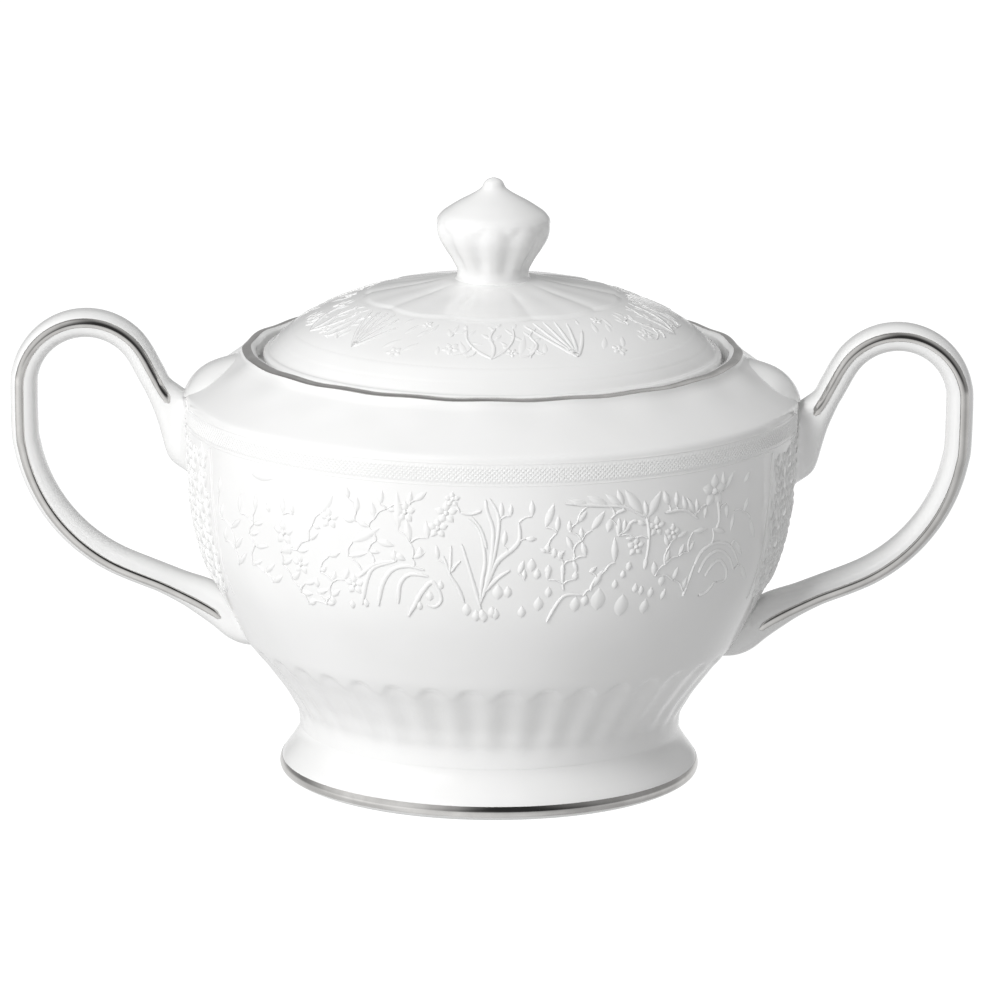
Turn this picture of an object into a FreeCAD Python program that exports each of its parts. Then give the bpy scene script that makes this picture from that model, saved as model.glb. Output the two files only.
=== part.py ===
import FreeCAD, Part
import math
import os
import re

import Sketcher

# A footed porcelain sugar bowl with two looped handles and a lift-off lid, edged in platinum.
# Millimetres. The origin is the middle of the ring it stands on, +Z is up, and the handles
# lie along X. Every round piece is a revolved outline; the handles are straps swept along a
# path of tangent arcs, cut to the bowl's own surface where they are luted on.

SIZES = {
    # foot: a flared ring, luted under the bowl at the waist
    "foot_radius": 40.5,
    "foot_edge_round": 1.9,
    "foot_edge_height": 1.6,
    "foot_edge_top": 3.0,
    "foot_flare_curve": 9.5,
    "foot_hollow_radius": 36.0,
    "foot_hollow_top_radius": 33.4,
    # bowl, from the waist up to the shoulder
    "waist_radius": 36.7,
    "waist_height": 9.2,
    "throat_radius": 39.0,
    "throat_height": 16.0,
    "throat_curve": 10.7,
    "belly_radius": 54.2,
    "belly_height": 40.0,
    "belly_low_curve": 88.0,
    "belly_high_curve": 71.4,
    "frieze_radius": 58.7,
    "frieze_top": 64.0,
    "shoulder_radius": 59.2,
    "shoulder_height": 74.4,
    "shoulder_round": 2.0,
    # rim, gallery that the lid drops into, and walls
    "rim_radius": 48.0,
    "rim_height": 83.1,
    "lip_round": 1.35,
    "gallery_depth": 3.8,
    "ledge_width": 3.7,
    "ledge_thick": 2.4,
    "wall": 3.2,
    "floor_thick": 4.0,
    "inner_throat_inset": 1.92,
    "floor_corner_inset": 5.76,
    # lid
    "lid_play": 1.3,
    "lid_edge_thick": 3.3,
    "lid_edge_round": 1.2,
    "lid_swell_radius": 26.0,
    "lid_swell_rise": 13.7,
    "lid_edge_curve": 37.4,
    "lid_top_curve": 200.0,
    "lid_wall": 3.2,
    "lid_swell_inset": 1.28,
    "flange_play": 0.5,
    "flange_thick": 2.8,
    "flange_depth": 4.2,
    "lid_rise": 17.4,
    # knob, luted on the flat in the middle of the lid
    "knob_base_radius": 7.4,
    "knob_neck_radius": 6.95,
    "knob_neck_rise": 1.9,
    "knob_throat_radius": 8.8,
    "knob_throat_rise": 5.7,
    "knob_throat_curve": 7.1,
    "knob_radius": 10.75,
    "knob_swell_rise": 10.4,
    "knob_swell_curve": 6.9,
    "knob_cone_rise": 13.5,
    "knob_cone_radius": 8.9,
    "knob_cone_curve": 3.5,
    "knob_bead_radius": 2.0,
    "knob_bead_rise": 17.7,
    # handle loop, along the middle of the strap; its reach is counted from the shoulder
    "loop_reach": 30.7,
    "loop_side_height": 74.8,
    "loop_top_radius": 12.0,
    "loop_side_run": 5.9,
    "loop_low_radius": 32.0,
    "loop_rise_angle": 61.8,
    "loop_low_turn": 68.5,
    "strap_thick": 5.2,
    "strap_width": 8.8,
    "strap_flat": 2.2,
    "strap_top_sink": 0.62,
    "strap_low_sink": 3.64,
    # roots where the handle spreads on to the bowl
    "root_sink": 1.5,
    "root_rise": 1.7,
    "root_top_length": 16.8,
    "root_top_tip": 1.6,
    "root_top_curve": 33.0,
    "root_low_height": 23.6,
    "root_low_inset": 8.6,
    "root_low_rise": 8.3,
    "root_low_drop": 3.2,
    "root_low_curve": 27.0,
    "leaf_inset": 6.46,
    "leaf_length": 12.6,
    "leaf_width": 15.0,
    "leaf_swell": 1.8,
    # platinum
    "film": 0.12,
    "foot_band_low": 0.7,
    "foot_band_high": 2.9,
    "rim_band_outside": 12.0,
    "rim_band_inside": 102.0,
    "line_width": 1.4,
    "line_offset": 0.6,
    "line_top_gap": 2.78,
    "line_low_gap": 0.3,
}

NAMED = {alias: "sizes." + alias for alias in SIZES}

doc = FreeCAD.newDocument("sugar_bowl")
sheet = doc.addObject("Spreadsheet::Sheet", "sizes")
for row, (alias, size) in enumerate(SIZES.items(), start=1):
    sheet.set(f"A{row}", alias)
    sheet.set(f"B{row}", str(size))
    sheet.setAlias(f"B{row}", alias)
doc.recompute()

RIGHT, LEFT = "right", "left"


def named(expression):
    """Write each size's name the way an expression outside the sheet has to."""
    return re.sub(r"[a-z_]+", lambda word: NAMED.get(word.group(), word.group()), expression)


def number(expression):
    """What an expression over the sheet's sizes comes to, as a plain number."""
    result = sheet.evalExpression(expression)
    return float(getattr(result, "Value", result))


def plane_of(body, role):
    """One of the body's own origin planes."""
    for feature in body.Origin.OriginFeatures:
        if feature.Role == role:
            return feature
    raise LookupError(role)


def pin(sketch, kind, element, point, expression):
    """Hold one coordinate of a point to an expression; zero means on the sketch's axis."""
    across = kind == "DistanceX"
    if expression == "0":
        axis = -2 if across else -1
        sketch.addConstraint(Sketcher.Constraint("PointOnObject", element, point, axis))
        return
    value = number(expression)
    if value < 0:
        ends = (element, point, -1, 1)
        expression = f"0 - ({expression})"
    else:
        ends = (-1, 1, element, point)
    index = sketch.addConstraint(Sketcher.Constraint(kind, *ends, abs(value)))
    sketch.setExpression(f"Constraints[{index}]", named(expression))


def arc_edge(start, end, radius, hand):
    """The short arc between two points, and whether it runs from the end to the start."""
    chord = end - start
    half = chord.Length / 2
    reach = math.sqrt(radius * radius - half * half)
    side = FreeCAD.Vector(-chord.y, chord.x, 0).normalize()
    centre = (start + end) / 2 + side * (reach if hand == RIGHT else -reach)
    first = math.atan2(start.y - centre.y, start.x - centre.x)
    last = math.atan2(end.y - centre.y, end.x - centre.x)
    circle = Part.Circle(centre, FreeCAD.Vector(0, 0, 1), radius)
    if hand == RIGHT:
        return Part.ArcOfCircle(circle, first, last), False
    return Part.ArcOfCircle(circle, last, first), True


def outline(body, name, corners, curves=None, plane="XZ_Plane", closed=True):
    """A sketch of lines and arcs on one of the body's planes.

    corners are pairs of expressions; curves gives the arcs, by the corner each starts at: the
    hand it bulges to, right or left of the travel, and its radius.
    """
    curves = curves or {}
    sketch = body.newObject("Sketcher::SketchObject", name)
    sketch.AttachmentSupport = [(plane_of(body, plane), "")]
    sketch.MapMode = "FlatFace"
    points = [FreeCAD.Vector(number(across), number(up), 0) for across, up in corners]
    sides = len(points) if closed else len(points) - 1
    ends = []
    for side in range(sides):
        start = points[side]
        end = points[(side + 1) % len(points)]
        if side in curves:
            hand, radius = curves[side]
            edge, turned = arc_edge(start, end, number(radius), hand)
            element = sketch.addGeometry(edge, False)
            index = sketch.addConstraint(Sketcher.Constraint("Radius", element, number(radius)))
            sketch.setExpression(f"Constraints[{index}]", named(radius))
            ends.append((element, 2 if turned else 1, 1 if turned else 2))
        else:
            element = sketch.addGeometry(Part.LineSegment(start, end), False)
            ends.append((element, 1, 2))
    for side in range(sides if closed else sides - 1):
        element, _, last = ends[side]
        following, first, _ = ends[(side + 1) % sides]
        sketch.addConstraint(Sketcher.Constraint("Coincident", element, last, following, first))
    for corner, (across, up) in enumerate(corners):
        if corner < sides:
            element, point, _ = ends[corner]
        else:
            element, _, point = ends[corner - 1]
        pin(sketch, "DistanceX", element, point, across)
        pin(sketch, "DistanceY", element, point, up)
    return sketch


def turned_piece(name, corners, curves=None):
    """A body turned about the bowl's axis from one closed outline."""
    body = doc.addObject("PartDesign::Body", name)
    sketch = outline(body, name + "_outline", corners, curves)
    turn = body.newObject("PartDesign::Revolution", name + "_turn")
    turn.Profile = sketch
    turn.ReferenceAxis = (sketch, ["V_Axis"])
    turn.Angle = 360
    body.Tip = turn
    return body


# ---- bowl -------------------------------------------------------------------------------
LIP_CENTRE = "rim_radius - lip_round"
LIP_BASE = "rim_height - lip_round"
GALLERY = "rim_radius - 2 * lip_round"
LEDGE = "rim_height - gallery_depth"
MOUTH = "rim_radius - 2 * lip_round - ledge_width"
SLOPE = "((rim_height - lip_round - shoulder_height) / (shoulder_radius - rim_radius))"
SLANT = f"sqrt(1 + {SLOPE} * {SLOPE})"
# how far the shoulder's rounding starts from its corner, along the wall and along the slope
SHOULDER_RUN = f"(shoulder_round * ({SLANT} - {SLOPE}))"

outer_corners = [
    ("0", "waist_height"),
    ("waist_radius", "waist_height"),
    ("throat_radius", "throat_height"),
    ("belly_radius", "belly_height"),
    ("frieze_radius", "frieze_top"),
    ("shoulder_radius", f"shoulder_height - {SHOULDER_RUN}"),
    (
        f"shoulder_radius - {SHOULDER_RUN} / {SLANT}",
        f"shoulder_height + {SHOULDER_RUN} * {SLOPE} / {SLANT}",
    ),
    ("rim_radius", LIP_BASE),
    (LIP_CENTRE, "rim_height"),
]
outer_curves = {
    1: (LEFT, "throat_curve"),
    2: (RIGHT, "belly_low_curve"),
    3: (RIGHT, "belly_high_curve"),
    5: (RIGHT, "shoulder_round"),
    7: (RIGHT, "lip_round"),
    8: (RIGHT, "lip_round"),
}
inner_corners = [
    (GALLERY, LIP_BASE),
    (GALLERY, LEDGE),
    (MOUTH, LEDGE),
    (MOUTH, f"{LEDGE} - ledge_thick"),
    ("rim_radius", f"{LEDGE} - ledge_thick"),
    ("shoulder_radius - wall", "shoulder_height - wall"),
    ("frieze_radius - wall", "frieze_top"),
    ("belly_radius - wall", "belly_height"),
    ("throat_radius - inner_throat_inset", "throat_height + inner_throat_inset"),
    ("throat_radius - floor_corner_inset", "waist_height + floor_thick"),
    ("0", "waist_height + floor_thick"),
]
inner_start = len(outer_corners)
inner_curves = {
    inner_start + 6: (LEFT, "belly_high_curve"),
    inner_start + 7: (LEFT, "belly_low_curve"),
}
bowl_body = turned_piece("bowl_body", outer_corners + inner_corners, {**outer_curves, **inner_curves})

# the bowl's outside as a filled solid, which trims whatever is luted on to it
bowl_envelope = turned_piece(
    "bowl_envelope", outer_corners + [(GALLERY, LIP_BASE), ("0", LIP_BASE)], outer_curves
)

# ---- foot -------------------------------------------------------------------------------
EDGE_CENTRE = "(foot_radius - foot_edge_round)"


def on_foot_edge(height, grow="0"):
    """Expression for the foot edge's radius at a height, with the edge grown by a film."""
    rise = f"({height} - foot_edge_height)"
    size = f"(foot_edge_round + {grow})"
    return f"{EDGE_CENTRE} + sqrt({size} * {size} - {rise} * {rise})"


pedestal_foot = turned_piece(
    "pedestal_foot",
    [
        ("foot_hollow_radius", "0"),
        (on_foot_edge("0"), "0"),
        (on_foot_edge("foot_edge_top"), "foot_edge_top"),
        ("waist_radius", "waist_height"),
        ("foot_hollow_top_radius", "waist_height"),
    ],
    {1: (RIGHT, "foot_edge_round"), 2: (LEFT, "foot_flare_curve")},
)

foot_platinum_band = turned_piece(
    "foot_platinum_band",
    [
        (on_foot_edge("foot_band_low"), "foot_band_low"),
        (on_foot_edge("foot_band_low", "film"), "foot_band_low"),
        (on_foot_edge("foot_band_high", "film"), "foot_band_high"),
        (on_foot_edge("foot_band_high"), "foot_band_high"),
    ],
    {1: (RIGHT, "foot_edge_round + film"), 3: (LEFT, "foot_edge_round")},
)


# ---- rim band ---------------------------------------------------------------------------
def on_lip(angle, grow="0"):
    """Expressions for a point on the rounded lip, with the lip grown by a film."""
    size = f"(lip_round + {grow})"
    across = f"{LIP_CENTRE} + {size} * cos({angle} * 1 deg)"
    return across, f"{LIP_BASE} + {size} * sin({angle} * 1 deg)"


rim_platinum_band = turned_piece(
    "rim_platinum_band",
    [
        on_lip("rim_band_outside"),
        on_lip("rim_band_outside", "film"),
        on_lip("rim_band_inside", "film"),
        on_lip("rim_band_inside"),
    ],
    {1: (RIGHT, "lip_round + film"), 3: (LEFT, "lip_round")},
)

# ---- lid --------------------------------------------------------------------------------
LID_RADIUS = f"{GALLERY} - lid_play"
LID_EDGE_TOP = f"{LEDGE} + lid_edge_thick"
FLANGE = f"{MOUTH} - flange_play"
LID_SWELL = f"{LEDGE} + lid_swell_rise"
KNOB_SEAT = f"{LEDGE} + lid_rise"
lid = turned_piece(
    "lid",
    [
        ("0", f"{KNOB_SEAT} - lid_wall"),
        ("knob_base_radius", f"{KNOB_SEAT} - lid_wall"),
        ("lid_swell_radius - lid_swell_inset", f"{LID_SWELL} - lid_wall"),
        (f"{FLANGE} - flange_thick", LEDGE),
        (f"{FLANGE} - flange_thick", f"{LEDGE} - flange_depth"),
        (FLANGE, f"{LEDGE} - flange_depth"),
        (FLANGE, LEDGE),
        (LID_RADIUS, LEDGE),
        (LID_RADIUS, f"{LID_EDGE_TOP} - lid_edge_round"),
        (f"{LID_RADIUS} - lid_edge_round", LID_EDGE_TOP),
        ("lid_swell_radius", LID_SWELL),
        ("knob_base_radius", KNOB_SEAT),
        ("0", KNOB_SEAT),
    ],
    {
        1: (LEFT, "lid_top_curve"),
        2: (LEFT, "lid_edge_curve - lid_wall"),
        8: (RIGHT, "lid_edge_round"),
        9: (RIGHT, "lid_edge_curve"),
        10: (RIGHT, "lid_top_curve"),
    },
)

lid_knob = turned_piece(
    "lid_knob",
    [
        ("0", KNOB_SEAT),
        ("knob_base_radius", KNOB_SEAT),
        ("knob_neck_radius", f"{KNOB_SEAT} + knob_neck_rise"),
        ("knob_throat_radius", f"{KNOB_SEAT} + knob_throat_rise"),
        ("knob_radius", f"{KNOB_SEAT} + knob_swell_rise"),
        ("knob_cone_radius", f"{KNOB_SEAT} + knob_cone_rise"),
        ("knob_bead_radius", f"{KNOB_SEAT} + knob_bead_rise"),
        ("0", f"{KNOB_SEAT} + knob_bead_rise + knob_bead_radius"),
    ],
    {
        2: (LEFT, "knob_throat_curve"),
        3: (RIGHT, "knob_swell_curve"),
        4: (RIGHT, "knob_cone_curve"),
        6: (RIGHT, "knob_bead_radius"),
    },
)

# ---- handles ----------------------------------------------------------------------------
REACH = "(shoulder_radius + loop_reach)"
TOP_CENTRE = f"({REACH} - loop_top_radius)"
LOW_CENTRE = f"({REACH} - loop_low_radius)"
LOW_SIDE = "(loop_side_height - loop_side_run)"
RISE = "(loop_rise_angle * 1 deg)"
TURN = "(loop_low_turn * 1 deg)"


def loop_corners(shift, start, end):
    """The strap's path, moved outward by shift, from its upper root round to its lower one.

    start and end are how far from the bowl's axis the path begins and stops.
    """
    top = f"(loop_top_radius + {shift})"
    low = f"(loop_low_radius + {shift})"
    top_x = f"({TOP_CENTRE} - {top} * sin({RISE}))"
    top_z = f"(loop_side_height + {top} * cos({RISE}))"
    low_x = f"({LOW_CENTRE} + {low} * cos({TURN}))"
    low_z = f"({LOW_SIDE} - {low} * sin({TURN}))"
    return [
        (start, f"{top_z} - ({top_x} - ({start})) * tan({RISE})"),
        (top_x, top_z),
        (f"{REACH} + {shift}", "loop_side_height"),
        (f"{REACH} + {shift}", LOW_SIDE),
        (low_x, low_z),
        (end, f"{low_z} - ({low_x} - ({end})) / tan({TURN})"),
    ]


def loop_curves(shift):
    """The path's two arcs, by the corner each starts at."""
    return {1: (LEFT, f"loop_top_radius + {shift}"), 3: (LEFT, f"loop_low_radius + {shift}")}


def swept_piece(name, section, section_curves, shift, start, end):
    """A body swept along the loop; the section is drawn square to the path's start."""
    body = doc.addObject("PartDesign::Body", name)
    corners = loop_corners(shift, start, end)
    path = outline(body, name + "_path", corners, loop_curves(shift), closed=False)
    profile = outline(body, name + "_section", section, section_curves, plane="XY_Plane")
    tilt = FreeCAD.Rotation(FreeCAD.Vector(0, 1, 0), 90 - number("loop_rise_angle"))
    profile.AttachmentOffset = FreeCAD.Placement(FreeCAD.Vector(), tilt)
    profile.setExpression("AttachmentOffset.Rotation.Angle", named("90 - loop_rise_angle"))
    for axis, expression in zip("xz", corners[0]):
        profile.setExpression(f"AttachmentOffset.Base.{axis}", named(expression))
    pipe = body.newObject("PartDesign::AdditivePipe", name + "_sweep")
    pipe.Profile = profile
    pipe.Spine = (path, [f"Edge{side + 1}" for side in range(len(corners) - 1)])
    body.Tip = pipe
    return body


def padded_piece(name, corners, curves):
    """A body padded both ways from the handles' plane to the strap's width."""
    body = doc.addObject("PartDesign::Body", name)
    profile = outline(body, name + "_outline", corners, curves)
    pad = body.newObject("PartDesign::Pad", name + "_pad")
    pad.Profile = profile
    pad.Midplane = True
    pad.setExpression("Length", named("strap_width"))
    body.Tip = pad
    return body


def mirrored_piece(name, source, normal):
    """The same piece on the other side of one of the bowl's planes of symmetry."""
    twin = doc.addObject("Part::Mirroring", name)
    twin.Source = source
    twin.Normal = normal
    return twin


HALF_FLAT = "0.5 * strap_flat"
HALF_WIDTH = "0.5 * strap_width"
FACE_RISE = "(0.5 * strap_thick - 0.5 * strap_flat)"
FACE_CURVE = f"(0.25 * strap_width * strap_width + {FACE_RISE} * {FACE_RISE}) / (2 * {FACE_RISE})"
ACROSS = FreeCAD.Vector(1, 0, 0)
DEPTH = FreeCAD.Vector(0, 1, 0)

# the strap: two flat flanks, and round outer and inner faces of the same swell
strap = swept_piece(
    "strap",
    [
        ("0 - " + HALF_FLAT, "0 - " + HALF_WIDTH),
        (HALF_FLAT, "0 - " + HALF_WIDTH),
        (HALF_FLAT, HALF_WIDTH),
        ("0 - " + HALF_FLAT, HALF_WIDTH),
    ],
    {1: (RIGHT, FACE_CURVE), 3: (RIGHT, FACE_CURVE)},
    "0",
    "shoulder_radius - strap_top_sink",
    "belly_radius - strap_low_sink",
)

# the roots are as thick as the strap where it runs into them
root_top = padded_piece(
    "root_top",
    [
        ("shoulder_radius - root_sink", "shoulder_height + root_rise"),
        ("shoulder_radius - root_sink", "shoulder_height - root_top_length"),
        ("shoulder_radius + root_top_tip", "shoulder_height - root_top_length + root_top_tip"),
        ("shoulder_radius + strap_thick", "shoulder_height - strap_thick"),
        ("shoulder_radius + 0.5 * strap_thick", "shoulder_height + root_rise"),
    ],
    {2: (RIGHT, "root_top_curve")},
)

root_low = padded_piece(
    "root_low",
    [
        ("belly_radius - strap_thick", "belly_height - root_low_drop"),
        ("belly_radius - root_low_inset", "root_low_height"),
        ("belly_radius + strap_thick", "root_low_height + root_low_rise"),
        ("belly_radius + strap_thick", "belly_height - root_low_drop"),
    ],
    {1: (LEFT, "root_low_curve")},
)

# the leaf that runs from the handle's root up the shoulder, half sunk in it
leaf = doc.addObject("Part::Ellipsoid", "leaf")
leaf.setExpression("Radius1", named("leaf_swell"))
leaf.setExpression("Radius2", named("0.5 * leaf_length"))
leaf.setExpression("Radius3", named("0.5 * leaf_width"))
leaf.Placement.Rotation = FreeCAD.Rotation(DEPTH, math.degrees(math.atan(number(SLOPE))))
leaf.setExpression("Placement.Base.x", named(f"shoulder_radius - leaf_inset / {SLANT}"))
leaf.setExpression("Placement.Base.z", named(f"shoulder_height + leaf_inset * {SLOPE} / {SLANT}"))
leaf.setExpression("Placement.Rotation.Angle", named(f"atan({SLOPE})"))

handle_blank = doc.addObject("Part::MultiFuse", "handle_blank")
handle_blank.Shapes = [strap, root_top, root_low, leaf]
handle_right = doc.addObject("Part::Cut", "handle_right")
handle_right.Base = handle_blank
handle_right.Tool = bowl_envelope
handle_left = mirrored_piece("handle_left", handle_right, ACROSS)

# one platinum line runs along each flank of each strap, a little outside its middle
LINE_LOW = "0 - 0.5 * line_width"
LINE_HIGH = "0.5 * line_width"
handle_right_front_line = swept_piece(
    "handle_right_front_line",
    [
        (LINE_LOW, f"0 - {HALF_WIDTH} - film"),
        (LINE_HIGH, f"0 - {HALF_WIDTH} - film"),
        (LINE_HIGH, f"0 - {HALF_WIDTH}"),
        (LINE_LOW, f"0 - {HALF_WIDTH}"),
    ],
    {},
    "line_offset",
    "shoulder_radius + line_top_gap",
    "belly_radius + line_low_gap",
)
handle_right_back_line = mirrored_piece("handle_right_back_line", handle_right_front_line, DEPTH)
handle_left_front_line = mirrored_piece("handle_left_front_line", handle_right_front_line, ACROSS)
handle_left_back_line = mirrored_piece("handle_left_back_line", handle_right_back_line, ACROSS)

PIECES = [
    pedestal_foot,
    foot_platinum_band,
    bowl_body,
    rim_platinum_band,
    handle_left,
    handle_right,
    handle_left_front_line,
    handle_left_back_line,
    handle_right_front_line,
    handle_right_back_line,
    lid,
    lid_knob,
]

doc.recompute()
for item in doc.Objects:
    if "Invalid" in item.State or "Error" in item.State:
        raise RuntimeError(f"{item.Label} failed: {item.State}")
for piece in PIECES:
    shape = piece.Shape
    if shape.isNull() or not shape.isValid() or len(shape.Solids) != 1:
        raise RuntimeError(f"{piece.Label} is not one sound solid")

os.makedirs("parts", exist_ok=True)
for piece in PIECES:
    piece.Shape.exportStep(f"parts/{piece.Label}.step")
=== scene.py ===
import math

import bpy
from mathutils import Matrix, Vector


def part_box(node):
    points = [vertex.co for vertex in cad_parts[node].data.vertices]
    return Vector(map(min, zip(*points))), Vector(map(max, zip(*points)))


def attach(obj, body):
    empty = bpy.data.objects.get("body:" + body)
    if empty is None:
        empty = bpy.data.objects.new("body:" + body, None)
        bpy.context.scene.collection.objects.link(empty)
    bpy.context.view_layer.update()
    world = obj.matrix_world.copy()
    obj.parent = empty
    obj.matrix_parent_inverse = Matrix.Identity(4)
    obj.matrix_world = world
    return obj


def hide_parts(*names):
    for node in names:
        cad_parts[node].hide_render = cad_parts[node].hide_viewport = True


# A footed white porcelain sugar bowl with platinum lines. Shapes are written in millimetres,
# in the frame's own axes, and scaled to metres as each mesh is built or wrapped.

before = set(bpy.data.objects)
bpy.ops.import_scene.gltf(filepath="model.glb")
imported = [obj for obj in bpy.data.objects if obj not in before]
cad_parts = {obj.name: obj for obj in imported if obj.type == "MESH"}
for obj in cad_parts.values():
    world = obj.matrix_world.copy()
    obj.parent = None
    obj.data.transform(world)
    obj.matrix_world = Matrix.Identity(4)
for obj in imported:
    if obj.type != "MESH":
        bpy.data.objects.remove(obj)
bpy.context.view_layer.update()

MM = 0.001
TAU = 2 * math.pi
FRONT = math.pi / 2  # added to an angle about the axis, so that it counts from the front


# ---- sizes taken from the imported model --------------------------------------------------
def corner_mm(node, end):
    """A corner of a node's box in millimetres: end 0 is the lowest, 1 the highest."""
    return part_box(node)[end] / MM


WAIST_Z = corner_mm("bowl_body", 0).z
RIM_Z = corner_mm("bowl_body", 1).z
LID_R = corner_mm("lid", 1).x
LID_LOW_Z = corner_mm("lid", 0).z


# ---- small helpers ----------------------------------------------------------------------
# Millimetres: points closer than WELD become one, and TINY is next to nothing.
WELD = 0.002
TINY = 0.01


def clear_selection():
    if bpy.context.object and bpy.context.object.mode != "OBJECT":
        bpy.ops.object.mode_set(mode="OBJECT")
    bpy.ops.object.select_all(action="DESELECT")


def ease(value):
    """Smooth step from 0 to 1."""
    value = min(1.0, max(0.0, value))
    return value * value * (3 - 2 * value)


def table_curve(points):
    """A smooth function through (x, y) points, with straight ends."""
    xs = [point[0] for point in points]
    ys = [point[1] for point in points]
    slopes = []
    for i in range(len(points)):
        low, high = max(i - 1, 0), min(i + 1, len(points) - 1)
        slopes.append((ys[high] - ys[low]) / (xs[high] - xs[low]))

    def value_at(x):
        if x <= xs[0]:
            return ys[0] + slopes[0] * (x - xs[0])
        if x >= xs[-1]:
            return ys[-1] + slopes[-1] * (x - xs[-1])
        i = next(k for k in range(len(xs) - 1) if x <= xs[k + 1])
        span = xs[i + 1] - xs[i]
        t = (x - xs[i]) / span
        keep = ys[i] * (1 + 2 * t) * (1 - t) ** 2 + ys[i + 1] * t * t * (3 - 2 * t)
        lean = slopes[i] * t * (1 - t) ** 2 - slopes[i + 1] * t * t * (1 - t)
        return keep + span * lean

    return value_at


def path_through(points, per_span):
    """Points along a smooth curve through the given 2D or 3D points."""
    result = []
    for i in range(len(points) - 1):
        a = Vector(points[max(i - 1, 0)])
        b = Vector(points[i])
        c = Vector(points[i + 1])
        d = Vector(points[min(i + 2, len(points) - 1)])
        for step in range(per_span):
            t = step / per_span
            result.append(
                0.5 * (2 * b + (c - a) * t + (2 * a - 5 * b + 4 * c - d) * t * t
                       + (3 * b - a - 3 * c + d) * t ** 3)
            )
    result.append(Vector(points[-1]))
    return result


def finish_piece(piece, name, body, finish, nodes=(), smooth_angle=40):
    """Name a piece, shade it, give it its finish and tie it to its CAD body and nodes."""
    piece.name = name
    piece.data.name = name
    piece.data.materials.clear()
    piece.data.materials.append(finish)
    clear_selection()
    piece.select_set(True)
    bpy.context.view_layer.objects.active = piece
    bpy.ops.object.shade_smooth_by_angle(angle=math.radians(smooth_angle))
    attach(piece, body)
    if nodes:
        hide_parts(*nodes)


def turned(outline, steps, shape=None):
    """Extrude an outline of (radius, height) from one point and spin it round the axis.

    Where shape is given, it takes a point's radius, angle and height, and returns the
    point's own radius and height.
    """
    clear_selection()
    bpy.ops.mesh.primitive_plane_add(size=1, location=(0, 0, 0))
    piece = bpy.context.object
    bpy.ops.object.mode_set(mode="EDIT")
    bpy.ops.mesh.select_all(action="SELECT")
    bpy.ops.mesh.merge(type="CENTER")
    last = Vector((0, 0, 0))
    for count, (radius, height) in enumerate(outline):
        place = Vector((radius, 0, height))
        if count == 0:
            bpy.ops.transform.translate(value=place)
        else:
            bpy.ops.mesh.extrude_vertices_move(TRANSFORM_OT_translate={"value": place - last})
        last = place
    bpy.ops.mesh.select_all(action="SELECT")
    bpy.ops.mesh.spin(steps=steps, angle=TAU, center=(0, 0, 0), axis=(0, 0, 1))
    bpy.ops.mesh.select_all(action="SELECT")
    bpy.ops.mesh.remove_doubles(threshold=WELD)
    bpy.ops.mesh.normals_make_consistent(inside=False)
    bpy.ops.object.mode_set(mode="OBJECT")
    for vertex in piece.data.vertices:
        if shape:
            x, y, z = vertex.co
            radius = math.hypot(x, y)
            if radius > TINY:
                around = math.atan2(y, x)
                radius, z = shape(radius, around, z)
                vertex.co = (radius * math.cos(around), radius * math.sin(around), z)
        vertex.co *= MM
    return piece


def wrapped(columns, rows, place, closed=False):
    """A grid laid out flat, then put in place point by point: place takes u and v, 0 to 1.

    A closed one has its meeting edges welded.
    """
    clear_selection()
    bpy.ops.mesh.primitive_grid_add(x_subdivisions=columns, y_subdivisions=rows, size=2)
    piece = bpy.context.object
    for vertex in piece.data.vertices:
        u = (vertex.co.x + 1) / 2
        v = (vertex.co.y + 1) / 2
        vertex.co = Vector(place(u, v)) * MM
    if closed:
        bpy.ops.object.mode_set(mode="EDIT")
        bpy.ops.mesh.select_all(action="SELECT")
        bpy.ops.mesh.remove_doubles(threshold=WELD * MM)
        bpy.ops.mesh.normals_make_consistent(inside=False)
        bpy.ops.object.mode_set(mode="OBJECT")
    return piece


def face_outward(piece, centre=(0, 0, 0)):
    """Turn an open shell's faces so that most of them look away from a point."""
    middle = Vector(centre) * MM
    score = sum((face.center - middle).dot(face.normal) for face in piece.data.polygons)
    if score < 0:
        piece.data.flip_normals()


# ---- finishes ---------------------------------------------------------------------------
GLAZE_IOR = 1.5


def new_finish(name):
    finish = bpy.data.materials.new(name)
    finish.use_nodes = True
    nodes = finish.node_tree.nodes
    nodes.clear()
    output = nodes.new("ShaderNodeOutputMaterial")
    shader = nodes.new("ShaderNodeBsdfPrincipled")
    finish.node_tree.links.new(shader.outputs["BSDF"], output.inputs["Surface"])
    return finish, shader


def noise(finish, scale, detail, roughness=0.5):
    """A noise texture in the object's own metres."""
    nodes, links = finish.node_tree.nodes, finish.node_tree.links
    where = nodes.new("ShaderNodeTexCoord")
    texture = nodes.new("ShaderNodeTexNoise")
    texture.inputs["Scale"].default_value = scale
    texture.inputs["Detail"].default_value = detail
    texture.inputs["Roughness"].default_value = roughness
    links.new(where.outputs["Object"], texture.inputs["Vector"])
    return texture


def grey(value):
    return (value, value, value, 1)


def ramp(finish, source, low, high, start=0.35, end=0.65):
    """Map a noise on to two colours, or two values, that blend between start and end."""
    nodes, links = finish.node_tree.nodes, finish.node_tree.links
    steps = nodes.new("ShaderNodeValToRGB")
    steps.color_ramp.elements[0].position = start
    steps.color_ramp.elements[1].position = end
    for element, level in zip(steps.color_ramp.elements, (low, high)):
        element.color = (*level, 1) if isinstance(level, tuple) else grey(level)
    links.new(source, steps.inputs["Fac"])
    return steps.outputs["Color"]


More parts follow.
